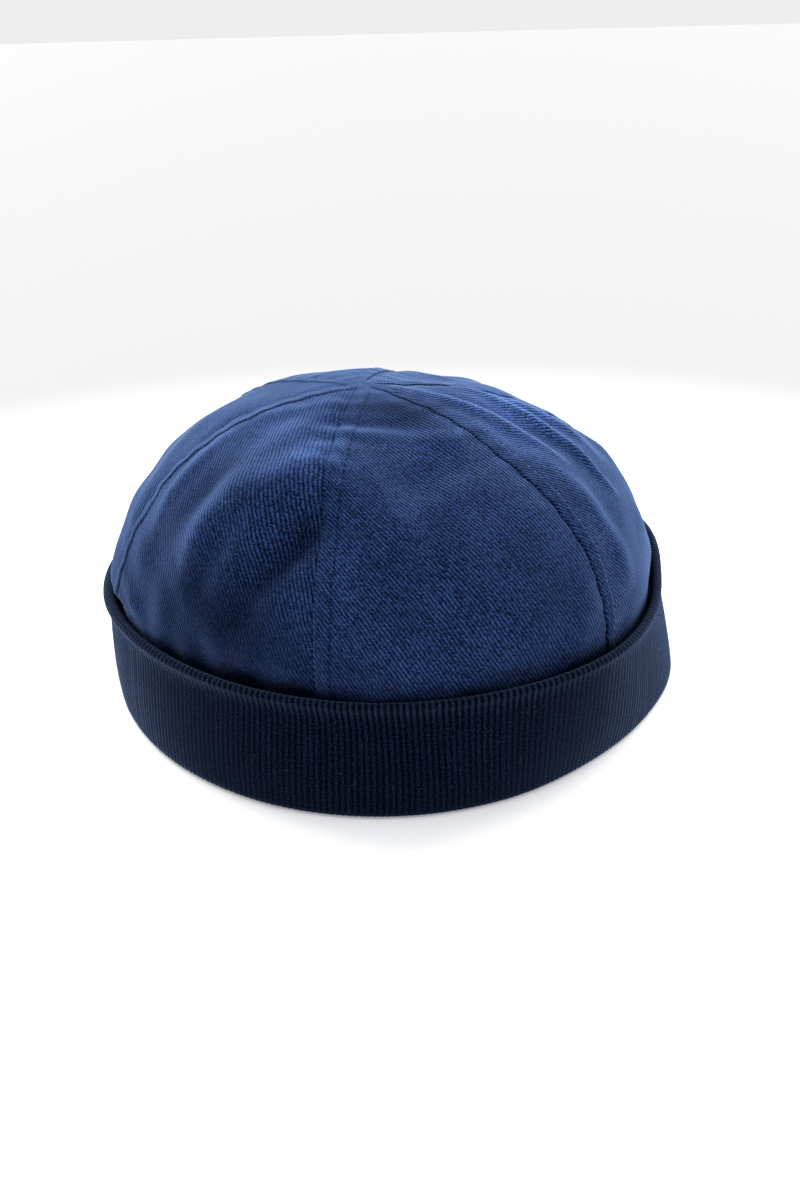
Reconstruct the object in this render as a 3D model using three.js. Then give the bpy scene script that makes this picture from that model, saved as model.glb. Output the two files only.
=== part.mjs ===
// A docker beanie: a brimless cap of six twill gores sewn to a turned-up cuff of rib knit.
// It stands on its cuff as it would on a table, empty, so the crown is soft, leans a little
// and has a few folds. Millimetres, +Z up. The origin is on the table, at the middle of the
// cuff. Angles run round the cap from the front (-Y) towards the right side (+X), in degrees.
import * as THREE from "three";

const DEGREE = Math.PI / 180;
const TURN = 360;
const SEAM_GAP = 0.3; // daylight between sewn pieces, so that each stays a solid of its own

// How much longer the cap is from front to back than from side to side.
const OVAL = 1.03;

// Crown: the gores, their seams and the cloth.
const GORES = 6;
const FIRST_SEAM = -12.5;
const CLOTH = 1.6;
const SEAM = { depth: 0.9, width: 2.6, fades: 14 };

// The crown's outline from the edge sewn into the cuff up to the apex, and where its middle
// lies at each height: the empty crown leans to the left and forwards.
const MERIDIAN = [
  { height: 20.3, radius: 90.9, right: 0, front: 0 },
  { height: 32, radius: 92.4, right: -1.4, front: 0 },
  { height: 45, radius: 92.6, right: -2.1, front: 0.2 },
  { height: 58, radius: 88.6, right: -2.1, front: 0.7 },
  { height: 69.5, radius: 81.2, right: -2.6, front: 1.3 },
  { height: 79.5, radius: 71.6, right: -3.4, front: 2 },
  { height: 88, radius: 60.4, right: -4.6, front: 2.6 },
  { height: 94.5, radius: 48, right: -5.6, front: 3.2 },
  { height: 98.8, radius: 35.2, right: -6.3, front: 3.6 },
  { height: 101.4, radius: 22.8, right: -6.8, front: 3.8 },
  { height: 102.8, radius: 11, right: -7.1, front: 4 },
  { height: 103.4, radius: 0, right: -7.2, front: 4 },
];

// Folds of the crown. Each runs from one place to another, given by the angle and by the
// distance down the cloth from the apex; lift is outwards, and a dent has a negative one. None
// reaches the sewn edge: they fade out over the last stretch above it.
const FOLDS_FADE = 14;
const FOLDS = [
  { name: "shelf across the front", angle1: -20, down1: 37, angle2: 38, down2: 46, width: 5, lift: 0.8 },
  { name: "hollow behind the shelf", angle1: -16, down1: 31, angle2: 24, down2: 37, width: 5, lift: -1.2 },
  { name: "flat of the front", angle1: 2, down1: 56, angle2: 36, down2: 56, width: 18, lift: -3.6 },
  { name: "left knee", angle1: -15, down1: 59, angle2: -50, down2: 92, width: 12, lift: 6.4 },
  { name: "left ridge", angle1: -63, down1: 48, angle2: -61, down2: 90, width: 5, lift: 1.3 },
  { name: "slack above the lip", angle1: -62, down1: 124, angle2: -18, down2: 126, width: 29, lift: -6.5 },
  { name: "first dent", angle1: -12, down1: 67, angle2: -19, down2: 82, width: 6, lift: -3 },
  { name: "second dent", angle1: -16, down1: 79, angle2: -27, down2: 99, width: 6, lift: -3 },
  { name: "outer dent", angle1: -35, down1: 78, angle2: -44, down2: 100, width: 6, lift: -1.6 },
  { name: "lip bulge", angle1: -68, down1: 112, angle2: -60, down2: 124, width: 5, lift: 1.2 },
  { name: "right seam ridge", angle1: 60, down1: 66, angle2: 58, down2: 108, width: 5, lift: 1.3 },
  { name: "first right ridge", angle1: 73, down1: 14, angle2: 65, down2: 70, width: 5, lift: 1.8 },
  { name: "second right ridge", angle1: 98, down1: 32, angle2: 73, down2: 87, width: 5, lift: 1.8 },
  { name: "right shoulder", angle1: 97, down1: 80, angle2: 102, down2: 92, width: 11, lift: 2.4 },
  { name: "dip at the top", angle1: 124, down1: 20, angle2: 138, down2: 44, width: 13, lift: -2.6 },
  { name: "back ridge", angle1: -150, down1: 42, angle2: -128, down2: 84, width: 6, lift: 1.3 },
  { name: "back dent", angle1: 172, down1: 62, angle2: 178, down2: 92, width: 17, lift: -1.7 },
  { name: "back right ridge", angle1: 143, down1: 46, angle2: 134, down2: 84, width: 6, lift: 1.2 },
];

// Cuff: a double band of rib knit, folded at its lip and turned up, so that an outer leg stands
// round the inner one that is sewn to the crown.
const CUFF = {
  wall: 3, // both layers of the outer leg, and the thickness of the lip
  inside: 2.6, // both layers of the inner leg
  slit: 0.8, // between the two legs at the foot
  seamHeight: 20, // top of the inner leg
  floor: 3.4, // bottom of the slit
  footRise: 2.4, // the foot is rounded up to here
  footRound: 1.8, // and drawn in by this much where it meets the table
  belly: 0.6, // how far the outer leg bows out halfway up
};

// The outer leg all the way round: the radius at the foot and at the lip, and the lip's height.
const CUFF_ROWS = [
  { angle: 0, foot: 98.9, lip: 98.2, rise: 38 },
  { angle: 20, foot: 97.9, lip: 98.9, rise: 38.3 },
  { angle: 40, foot: 95.9, lip: 99.4, rise: 38.6 },
  { angle: 60, foot: 97, lip: 96.6, rise: 38 },
  { angle: 80, foot: 100.2, lip: 94.7, rise: 39.6 },
  { angle: 100, foot: 100.6, lip: 97.3, rise: 42.4 },
  { angle: 120, foot: 99, lip: 98.6, rise: 43.2 },
  { angle: 140, foot: 98, lip: 98.8, rise: 41.8 },
  { angle: 160, foot: 98, lip: 98.6, rise: 40 },
  { angle: 180, foot: 98.5, lip: 98.5, rise: 38.6 },
  { angle: 200, foot: 98.5, lip: 98.5, rise: 38 },
  { angle: 220, foot: 98, lip: 99, rise: 38 },
  { angle: 240, foot: 97.8, lip: 100, rise: 38.4 },
  { angle: 260, foot: 97.4, lip: 101, rise: 38.6 },
  { angle: 280, foot: 97.3, lip: 99.3, rise: 38.2 },
  { angle: 300, foot: 96.4, lip: 96.8, rise: 38 },
  { angle: 320, foot: 97, lip: 95.4, rise: 37.6 },
  { angle: 340, foot: 98.5, lip: 96.6, rise: 37.8 },
];
const RIBS = { count: 328, depth: 0.55 };

// The cuff holds the crown in up to its lip: the room left between them, how softly the cloth
// takes to the curve, and how quickly it is free again above the lip.
const HOLD = { room: 0.5, ease: 1.1, release: 0.12 };

// How finely the curved faces are cut.
const GORE_COLUMNS = 10;
const GORE_ROWS = 16;
const PLAIN_COLUMNS = RIBS.count / 4;
const RIB_COLUMNS = RIBS.count * 2;

// A smooth curve through four values, read between the middle two.
function through(a, b, c, d, t) {
  const slope = c - a;
  const bend = 2 * a - 5 * b + 4 * c - d;
  const twist = 3 * b - a - 3 * c + d;
  return b + 0.5 * t * (slope + t * (bend + t * twist));
}

// One column of a table whose rows go all the way round, at any angle.
function around(rows, column, angle) {
  const place = (((angle % TURN) + TURN) % TURN) / (TURN / rows.length);
  const row = Math.floor(place);
  const value = (k) => rows[(k + rows.length) % rows.length][column];
  return through(value(row - 1), value(row), value(row + 1), value(row + 2), place - row);
}

// The crown's outline at a place counted in rows from the sewn edge. Past the apex it comes
// down the other side, so that the top is round.
function meridian(place) {
  const last = MERIDIAN.length - 1;
  const row = Math.min(Math.floor(place), last - 1);
  const value = (k, column) => {
    if (k < 0) return 2 * MERIDIAN[0][column] - MERIDIAN[1][column];
    if (k <= last) return MERIDIAN[k][column];
    const mirrored = MERIDIAN[2 * last - k][column];
    return column === "radius" ? -mirrored : mirrored;
  };
  const read = (column) =>
    through(
      value(row - 1, column),
      value(row, column),
      value(row + 1, column),
      value(row + 2, column),
      place - row,
    );
  const section = new THREE.Vector2(read("radius"), read("height"));
  return { section, right: read("right"), front: read("front") };
}

// The same outline by the distance down the cloth from the apex.
const STEPS = 400;
const walked = [{ down: 0, place: MERIDIAN.length - 1 }];
for (let k = STEPS - 1; k >= 0; k--) {
  const place = ((MERIDIAN.length - 1) * k) / STEPS;
  const before = walked[walked.length - 1];
  const step = meridian(place).section.distanceTo(meridian(before.place).section);
  walked.push({ down: before.down + step, place });
}
const GORE_LENGTH = walked[walked.length - 1].down;

function outlineAt(down) {
  const k = Math.max(1, walked.findIndex((step) => step.down >= down - 1e-9));
  const [a, b] = [walked[k - 1], walked[k]];
  const t = (down - a.down) / (b.down - a.down);
  const place = a.place + (b.place - a.place) * t;
  const { section, right, front } = meridian(place);
  const along = meridian(place + 0.01).section.sub(meridian(place - 0.01).section).normalize();
  return { section, right, front, normal: new THREE.Vector2(along.y, -along.x) };
}

// The crown laid flat, as seen from above with every gore rolled out from the apex.
function laidFlat(angle, down) {
  return new THREE.Vector2(down * Math.sin(angle * DEGREE), -down * Math.cos(angle * DEGREE));
}

// How far the folds lift the cloth at a place.
function foldLift(angle, down) {
  const here = laidFlat(angle, down);
  let lift = 0;
  for (const fold of FOLDS) {
    const start = laidFlat(fold.angle1, fold.down1);
    const run = laidFlat(fold.angle2, fold.down2).sub(start);
    const along = THREE.MathUtils.clamp(here.clone().sub(start).dot(run) / run.lengthSq(), 0, 1);
    const off = here.distanceTo(start.addScaledVector(run, along)) / fold.width;
    lift += fold.lift * Math.exp(-off * off) * Math.sin(Math.PI * (0.15 + 0.7 * along));
  }
  return lift * Math.min(1, (GORE_LENGTH - down) / FOLDS_FADE);
}

// One place of the cuff's table.
function cuffRow(angle) {
  return {
    foot: around(CUFF_ROWS, "foot", angle),
    lip: around(CUFF_ROWS, "lip", angle),
    rise: around(CUFF_ROWS, "rise", angle),
  };
}

// How far the cuff presses the crown in at a place that the crown would like to reach.
function pressedIn(place) {
  const radius = Math.hypot(place.x, place.y / OVAL);
  const { foot, lip, rise } = cuffRow(Math.atan2(place.x, -place.y / OVAL) / DEGREE);
  const free = Math.max(0, place.z - rise);
  const inside = THREE.MathUtils.lerp(foot, lip, Math.min(1, place.z / rise)) - CUFF.wall;
  const limit = inside - HOLD.room + HOLD.release * free * free;
  return HOLD.ease * Math.log(1 + Math.exp((radius - limit) / HOLD.ease));
}

// How deep the cloth is drawn in at the nearest seam.
function seamGroove(angle, down, radius) {
  const span = TURN / GORES;
  const fromSeam = THREE.MathUtils.euclideanModulo(angle - FIRST_SEAM, span);
  const arc = Math.min(fromSeam, span - fromSeam) * DEGREE * radius;
  return SEAM.depth * Math.exp(-((arc / SEAM.width) ** 2)) * (1 - Math.exp(-down / SEAM.fades));
}

// A point of the crown's outside, or of its inside where the depth is the cloth's thickness.
function crownPoint(angle, down, depth) {
  const { section, right, front, normal } = outlineAt(down);
  const lift = foldLift(angle, down) - seamGroove(angle, down, section.x);
  const at = (out) =>
    new THREE.Vector3(
      right + (section.x + out) * Math.sin(angle * DEGREE),
      -front - (section.x + out) * Math.cos(angle * DEGREE) * OVAL,
      section.y + normal.y * (lift - depth),
    );
  const pressed = pressedIn(at(normal.x * lift));
  return at(normal.x * (lift - depth) - pressed);
}

// Geometry from a list of points and a list of triangles.
function shell(points, triangles) {
  const geometry = new THREE.BufferGeometry().setFromPoints(points);
  geometry.setIndex(triangles);
  geometry.computeVertexNormals();
  return geometry;
}

// One gore: a triangle of cloth with curved sides, its point at the apex. Its rows go down the
// cloth and lie closer together at the top, its columns go across and lie closer at the seams.
function gore(index) {
  const span = TURN / GORES;
  const start = FIRST_SEAM + index * span;
  const tip = SEAM_GAP / 2 / Math.sin((span / 2) * DEGREE);
  const rows = Array.from({ length: GORE_ROWS }, (_, row) => {
    const down = tip + (GORE_LENGTH - tip) * ((row + 1) / GORE_ROWS) ** 1.1;
    const trim = Math.asin(SEAM_GAP / 2 / outlineAt(down).section.x) / DEGREE;
    return { down, trim };
  });
  const points = [];
  for (const depth of [0, CLOTH]) {
    points.push(crownPoint(start + span / 2, tip, depth));
    for (const { down, trim } of rows) {
      for (let column = 0; column <= GORE_COLUMNS; column++) {
        const share = (1 - Math.cos((Math.PI * column) / GORE_COLUMNS)) / 2;
        points.push(crownPoint(start + trim + (span - 2 * trim) * share, down, depth));
      }
    }
  }
  const layer = points.length / 2;
  const at = (side, row, column) =>
    side * layer + (row === 0 ? 0 : 1 + (row - 1) * (GORE_COLUMNS + 1) + column);
  const [outside, inside] = [0, 1];
  const triangles = [];
  const quad = (a, b, c, d) => triangles.push(a, b, c, a, c, d);
  for (let column = 0; column < GORE_COLUMNS; column++) {
    const next = column + 1;
    triangles.push(at(outside, 0, 0), at(outside, 1, column), at(outside, 1, next));
    triangles.push(at(inside, 0, 0), at(inside, 1, next), at(inside, 1, column));
    for (let row = 1; row < GORE_ROWS; row++) {
      const [top, low] = [row, row + 1];
      quad(
        at(outside, top, column),
        at(outside, low, column),
        at(outside, low, next),
        at(outside, top, next),
      );
      quad(
        at(inside, top, next),
        at(inside, low, next),
        at(inside, low, column),
        at(inside, top, column),
      );
    }
    quad(
      at(outside, GORE_ROWS, column),
      at(inside, GORE_ROWS, column),
      at(inside, GORE_ROWS, next),
      at(outside, GORE_ROWS, next),
    );
  }
  for (let top = 0; top < GORE_ROWS; top++) {
    const [low, far] = [top + 1, GORE_COLUMNS];
    quad(at(outside, top, 0), at(inside, top, 0), at(inside, low, 0), at(outside, low, 0));
    quad(at(outside, low, far), at(inside, low, far), at(inside, top, far), at(outside, top, far));
  }
  return shell(points, triangles);
}

// The cuff's section at an angle: the ring of points round the two legs, from the inner edge of
// the foot, up the ribbed outside, over the lip, down the slit and back over the inner leg. Where
// the section is ribbed, furrow says which way the furrows go in.
function cuffSection(angle) {
  const { foot, lip, rise } = cuffRow(angle);
  const round = CUFF.wall / 2;
  const back = foot - CUFF.wall - CUFF.slit;
  const sewnOutside = MERIDIAN[0].radius + (CUFF.inside - CLOTH) / 2;
  const halfway = (foot + lip) / 2 + CUFF.belly;
  const inwards = new THREE.Vector2(-RIBS.depth, 0);
  const downwards = new THREE.Vector2(0, -RIBS.depth);
  const outwards = new THREE.Vector2(RIBS.depth, 0);
  return [
    { radius: back - CUFF.inside + CUFF.footRound, height: 0 },
    { radius: foot - CUFF.footRound, height: 0 },
    { radius: foot, height: CUFF.footRise, furrow: inwards },
    { radius: halfway, height: rise / 2, furrow: inwards },
    { radius: lip, height: rise - round, furrow: inwards },
    { radius: lip - round, height: rise, furrow: downwards },
    { radius: lip - CUFF.wall, height: rise - round, furrow: outwards },
    { radius: foot - CUFF.wall, height: CUFF.floor },
    { radius: back, height: CUFF.floor },
    { radius: sewnOutside, height: CUFF.seamHeight },
    { radius: sewnOutside - CUFF.inside, height: CUFF.seamHeight },
    { radius: back - CUFF.inside, height: CUFF.footRise },
  ];
}

// The cuff: one closed ring with that section. The ribbed rings have two columns for each rib,
// a crest and a furrow, and the plain ones have fewer.
function cuff() {
  const rings = cuffSection(0).map(({ furrow }, k) => {
    const count = furrow ? RIB_COLUMNS : PLAIN_COLUMNS;
    return Array.from({ length: count }, (_, column) => {
      const angle = (column * TURN) / count;
      const place = cuffSection(angle)[k];
      const section = new THREE.Vector2(place.radius, place.height);
      if (furrow && column % 2 === 1) section.add(furrow);
      const across = section.x * Math.sin(angle * DEGREE);
      return new THREE.Vector3(across, -section.x * Math.cos(angle * DEGREE) * OVAL, section.y);
    });
  });
  const firsts = rings.map((_, k) => rings.slice(0, k).flat().length);
  const triangles = [];
  rings.forEach((ring, k) => {
    const next = (k + 1) % rings.length;
    const steps = Math.max(ring.length, rings[next].length);
    const column = (count, step) => Math.floor((step * count) / steps) % count;
    for (let step = 0; step < steps; step++) {
      const a0 = firsts[k] + column(ring.length, step);
      const a1 = firsts[k] + column(ring.length, step + 1);
      const b0 = firsts[next] + column(rings[next].length, step);
      const b1 = firsts[next] + column(rings[next].length, step + 1);
      if (b0 !== b1) triangles.push(a0, b1, b0);
      if (a0 !== a1) triangles.push(a0, a1, b1);
    }
  });
  return shell(rings.flat(), triangles);
}

// Materials.
const twill = new THREE.MeshStandardMaterial({ color: 0x2f4a80, roughness: 0.95, metalness: 0 });
const rib = new THREE.MeshStandardMaterial({ color: 0x161f33, roughness: 0.95, metalness: 0 });

const beanie = new THREE.Group();
function add(name, geometry, material) {
  const mesh = new THREE.Mesh(geometry, material);
  mesh.name = name;
  beanie.add(mesh);
}
for (let k = 0; k < GORES; k++) add(`crown_gore_${k + 1}`, gore(k), twill);
add("rib_cuff", cuff(), rib);

export default beanie;
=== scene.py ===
# %% [markdown]
# # A docker beanie in Blender
#
# A docker beanie is a short cap with no brim: six gores of brushed twill sewn to a point, and a
# double band of rib knit turned up round them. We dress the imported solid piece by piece. Every
# piece is computed from a few named sizes, so it can be changed without modelling it again.

import math

import bmesh
import bpy
import numpy as np
from mathutils import Matrix, Vector


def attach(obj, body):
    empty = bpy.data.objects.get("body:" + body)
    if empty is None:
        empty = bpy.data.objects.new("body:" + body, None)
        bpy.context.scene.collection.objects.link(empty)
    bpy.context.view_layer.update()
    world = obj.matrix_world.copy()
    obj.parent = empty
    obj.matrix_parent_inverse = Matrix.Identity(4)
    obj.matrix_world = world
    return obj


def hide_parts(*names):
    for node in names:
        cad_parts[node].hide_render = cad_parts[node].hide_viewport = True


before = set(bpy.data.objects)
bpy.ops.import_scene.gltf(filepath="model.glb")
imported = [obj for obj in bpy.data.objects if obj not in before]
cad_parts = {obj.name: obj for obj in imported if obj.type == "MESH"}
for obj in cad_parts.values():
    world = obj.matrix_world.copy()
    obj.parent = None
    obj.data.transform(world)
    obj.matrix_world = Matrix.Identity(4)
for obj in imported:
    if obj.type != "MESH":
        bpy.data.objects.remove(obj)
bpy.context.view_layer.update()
print("nodes:", sorted(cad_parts))

# %% [markdown]
# ## Sizes
#
# Lengths here are in millimetres and become metres only when a mesh is made. Angles run round
# the cap from its front (-Y) towards its right side (+X), in degrees. The tables say the same as
# the solids: the crown's outline from its sewn edge up to the apex, with the way its middle leans,
# and the cuff's outer wall all the way round.

# %% Sizes of the crown and the cuff
MM = 0.001
TURN = 360.0
OVAL = 1.03  # the cap is this much longer from front to back

GORES = 6
GORE_SPAN = TURN / GORES
FIRST_SEAM = -12.5
CLOTH = 1.6

# height, radius, and how far the middle lies to the right and to the front
MERIDIAN = np.array([
    (20.3, 90.9, 0.0, 0.0),
    (32.0, 92.4, -1.4, 0.0),
    (45.0, 92.6, -2.1, 0.2),
    (58.0, 88.6, -2.1, 0.7),
    (69.5, 81.2, -2.6, 1.3),
    (79.5, 71.6, -3.4, 2.0),
    (88.0, 60.4, -4.6, 2.6),
    (94.5, 48.0, -5.6, 3.2),
    (98.8, 35.2, -6.3, 3.6),
    (101.4, 22.8, -6.8, 3.8),
    (102.8, 11.0, -7.1, 4.0),
    (103.4, 0.0, -7.2, 4.0),
])

# angle, radius at the foot, radius at the lip, height of the lip, radius of the lip's roll, and
# how far the wall is drawn in just below the roll
CUFF_ROWS = np.array([
    (0, 98.9, 98.2, 38.0, 1.6, 0.3),
    (20, 97.9, 98.9, 38.3, 1.6, 0.3),
    (40, 95.9, 99.4, 38.6, 1.6, 0.6),
    (60, 97.0, 96.6, 38.0, 1.7, 1.0),
    (80, 100.2, 94.7, 39.6, 1.8, 1.2),
    (100, 100.6, 97.3, 42.4, 2.0, 1.0),
    (120, 99.0, 98.6, 43.2, 2.1, 0.8),
    (140, 98.0, 98.8, 41.8, 2.0, 0.6),
    (160, 98.0, 98.6, 40.0, 1.9, 0.5),
    (180, 98.5, 98.5, 38.6, 1.8, 0.5),
    (200, 98.5, 98.5, 38.0, 1.8, 0.5),
    (220, 98.0, 99.0, 38.0, 1.9, 0.6),
    (240, 97.8, 100.0, 38.4, 2.1, 0.9),
    (260, 97.4, 101.0, 38.6, 2.4, 1.5),
    (280, 97.3, 99.3, 38.2, 2.3, 1.7),
    (300, 96.4, 96.8, 38.0, 1.9, 1.4),
    (320, 97.0, 95.4, 37.6, 1.7, 0.9),
    (340, 98.5, 96.6, 37.8, 1.6, 0.5),
])
CUFF_WALL = 3.0
CUFF_INSIDE = 2.6
CUFF_SLIT = 0.8
CUFF_SEAM_HEIGHT = 20.0
CUFF_FLOOR = 3.4
CUFF_BELLY = 0.6
RIB_COUNT = 328

# %% [markdown]
# ## Helpers
#
# Two tables are read between their rows by a curve that passes through each row without a corner,
# a Catmull-Rom spline. The helpers for nodes add one to any tree and fill its inputs with values or
# links. The last ones make a mesh from arrays, store numbers on it, and run Geometry Nodes on it.

# %% Curves through a table
def through(a, b, c, d, t):
    return b + 0.5 * t * (c - a + t * (2 * a - 5 * b + 4 * c - d + t * (3 * b - a - 3 * c + d)))


def around(column, angle):
    """One column of the cuff's table at any angles."""
    rows = len(CUFF_ROWS)
    place = np.mod(angle, TURN) / (TURN / rows)
    row = np.floor(place).astype(int)
    a, b, c, d = (CUFF_ROWS[(row + k) % rows, column] for k in (-1, 0, 1, 2))
    return through(a, b, c, d, place - row)


def meridian(place):
    """The crown's outline at places counted in rows from the sewn edge."""
    last = len(MERIDIAN) - 1
    over_the_top = MERIDIAN[-2] * np.array([1, -1, 1, 1])
    below = 2 * MERIDIAN[0] - MERIDIAN[1]
    rows = np.vstack([below, MERIDIAN, over_the_top])
    row = np.clip(np.floor(place).astype(int), 0, last - 1)
    t = (place - row)[:, None]
    return through(rows[row], rows[row + 1], rows[row + 2], rows[row + 3], t)


print("the cuff is", around(3, np.zeros(1)).round(1), "mm high in front")


# %% Nodes
def add(tree, kind, inputs=None, **settings):
    """A new node in a tree. Inputs are given by name, as a value or as a socket to link."""
    node = tree.nodes.new(kind)
    for name, value in settings.items():
        setattr(node, name, value)
    for name, value in (inputs or {}).items():
        if isinstance(value, bpy.types.NodeSocket):
            tree.links.new(value, node.inputs[name])
        else:
            node.inputs[name].default_value = value
    return node


def calc(tree, operation, *values):
    return add(tree, "ShaderNodeMath", dict(enumerate(values)), operation=operation).outputs[0]


def times(tree, product, *factors):
    for factor in factors:
        product = calc(tree, "MULTIPLY", product, factor)
    return product


def times_plus(tree, value, factor, more):
    return calc(tree, "MULTIPLY_ADD", value, factor, more)


def combine(tree, operation, *vectors, result="Vector"):
    """Vector Math, on points or on colours: it gives a vector or a single value."""
    node = add(tree, "ShaderNodeVectorMath", dict(enumerate(vectors)), operation=operation)
    return node.outputs[result]


def scaled(tree, vector, amount):
    inputs = {"Vector": vector, "Scale": amount}
    return add(tree, "ShaderNodeVectorMath", inputs, operation="SCALE").outputs[0]


def eased(tree, value, start, end, low=0.0, high=1.0):
    """Goes softly from low to high while a value goes from start to end."""
    inputs = {"Value": value, "From Min": start, "From Max": end, "To Min": low, "To Max": high}
    return add(tree, "ShaderNodeMapRange", inputs, interpolation_type="SMOOTHSTEP").outputs[0]


def noise(tree, place, scale, detail):
    """Soft random values round 0.5; a larger scale makes them finer."""
    inputs = {"Vector": place, "Scale": scale, "Detail": detail}
    return add(tree, "ShaderNodeTexNoise", inputs).outputs[0]


def ridges(tree, place):
    """0 at every whole number and 1 halfway between."""
    return times(tree, calc(tree, "PINGPONG", place, 0.5), 2.0)


def stored(tree, name):
    """What is stored under a name on the mesh, one number for each point."""
    return add(tree, "ShaderNodeAttribute", attribute_name=name).outputs["Fac"]


def colour_ramp(tree, value, stops):
    """Colours between two stops, each a position and a colour."""
    ramp = add(tree, "ShaderNodeValToRGB", {"Fac": value})
    for element, (position, colour) in zip(ramp.color_ramp.elements, stops):
        element.position = position
        element.color = (*colour, 1.0)
    return ramp.outputs[0]


def bump(tree, height, most, strength):
    """The normal of a relief that is at most so many millimetres high."""
    inputs = {"Height": height, "Distance": most * MM, "Strength": strength}
    return add(tree, "ShaderNodeBump", inputs).outputs[0]


def new_material(name):
    """A material with an empty tree of nodes, and that tree."""
    material = bpy.data.materials.new(name)
    material.use_nodes = True
    material.node_tree.nodes.clear()
    return material, material.node_tree


def shade(tree, inputs):
    shader = add(tree, "ShaderNodeBsdfPrincipled", inputs)
    add(tree, "ShaderNodeOutputMaterial", {"Surface": shader.outputs[0]})


def shade_cloth(tree, colour, normal, painted_lighting, sheen):
    """Rough cloth without gloss; its fine hairs give a sheen, scaled by the painted light and shade."""
    weight, roughness, tint = sheen
    shade(tree, {
        "Base Color": colour,
        "Normal": normal,
        "Roughness": 0.95,
        "Specular IOR Level": 0.0,
        "Sheen Weight": times(tree, painted_lighting, weight),
        "Sheen Roughness": roughness,
        "Sheen Tint": tint,
    })


# %% Meshes
def new_object(name, data):
    piece = bpy.data.objects.new(name, data)
    bpy.context.collection.objects.link(piece)
    return piece


def mesh_object(name, points, faces, edges=()):
    """An object at the origin whose mesh has these points, given in millimetres."""
    mesh = bpy.data.meshes.new(name)
    mesh.from_pydata(np.asarray(points) * MM, edges, faces)
    mesh.shade_smooth()
    return new_object(name, mesh)


def grid_faces(rows, columns):
    """Faces between the points of a grid, row after row, by the numbers of their corners."""
    number = np.arange(rows * columns).reshape(rows, columns)
    corners = [number[:-1, :-1], number[1:, :-1], number[1:, 1:], number[:-1, 1:]]
    return np.stack(corners, -1).reshape(-1, 4)


def uv_map(piece, name, values):
    layer = piece.data.uv_layers.new(name=name)
    layer.data.foreach_set("uv", np.asarray(values, dtype=np.float32).ravel())


def store(piece, name, values):
    """Keeps one number for each point of a mesh."""
    attribute = piece.data.attributes.new(name, "FLOAT", "POINT")
    attribute.data.foreach_set("value", np.asarray(values, dtype=np.float32).ravel())


def run_nodes(piece, tree, **inputs):
    """Runs a Geometry Nodes tree on a piece and keeps the result as its plain mesh."""
    modifier = piece.modifiers.new(tree.name, "NODES")
    modifier.node_group = tree
    for item in tree.interface.items_tree:
        if item.name in inputs:
            modifier[item.identifier] = inputs[item.name]
    evaluated = piece.evaluated_get(bpy.context.evaluated_depsgraph_get())
    mesh = bpy.data.meshes.new_from_object(evaluated)
    piece.modifiers.clear()
    piece.data = mesh
    mesh.name = piece.name
    return piece


def geometry_tree(name, **numbers):
    """A Geometry Nodes tree that takes a geometry, these numbers by name, and a material."""
    tree = bpy.data.node_groups.new(name, "GeometryNodeTree")
    tree.interface.new_socket("Geometry", in_out="INPUT", socket_type="NodeSocketGeometry")
    tree.interface.new_socket("Geometry", in_out="OUTPUT", socket_type="NodeSocketGeometry")
    for label, number in numbers.items():
        kind = "NodeSocketInt" if isinstance(number, int) else "NodeSocketFloat"
        socket = tree.interface.new_socket(label, in_out="INPUT", socket_type=kind)
        socket.default_value = number
    tree.interface.new_socket("Material", in_out="INPUT", socket_type="NodeSocketMaterial")
    return tree, add(tree, "NodeGroupInput").outputs


# %% [markdown]
# ## Brushed twill
#
# Twill is woven with steep diagonal ridges, the wales, about 1.15 mm apart. Each is a row of short floats
# that lie over the threads below, and brushing raises soft hairs that catch the light at the edges; this
# is a painted sheen, a paler rim where the cloth turns away. Modelled threads would need millions of
# faces and an image would blur, so the weave is computed from the cloth's own coordinates: millimetres
# across and down each gore, as it was cut. The furrows between the wales are painted darker, as shade.
# Numbers stored on each gore say where it gets painted shade in a seam and behind the cuff, and where it
# is painted paler or darker as light and shade.

# %% Twill
TWILL_PITCH = 1.15
TWILL_ANGLE = 29.0
FLOAT_LENGTH = 1.3
FLOAT_STAGGER = 0.382  # shift from one wale's floats to the next's, as a share of a float
FLOAT_DIP = 0.14  # the floats are this share thinner at their ends
WALE_ROUNDNESS = 0.7
# scale and detail of the noise that makes the wales wander, and by how many wales
TWILL_WANDER = [(0.12, 2.0, 0.9), (1.3, 1.0, 0.3)]
TWILL_GRAIN = 2.2  # how strongly single hairs and worn floats mottle the cloth
TWILL_BUMP = 0.3
FLOAT_TONES = (0.42, 0.54)  # how much the tones of the floats differ, and the darkest
WORN_PATCHES = (0.7, 0.65)  # the same for large soft patches
# the furrow between two wales, painted dark as shade, and the lightest floats
TWILL_COLOURS = [(0.08, (0.0007, 0.0019, 0.0075)), (0.95, (0.028, 0.061, 0.186))]
RIM_SHEEN_COLOUR = (0.09, 0.14, 0.165)  # painted sheen: a paler rim where the cloth turns away, for the light that its brushed hairs catch
RIM_SHEEN_POWER = 10.0
TWILL_SHEEN = (0.62, 0.34, (0.31, 0.49, 1.0, 1.0))  # weight, roughness, tint
SEAM_DARK = 0.8  # share of the colour taken away as painted shade at the bottom of a seam,
LIP_SHADE_DARK = 0.92  # and behind the cuff


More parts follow.
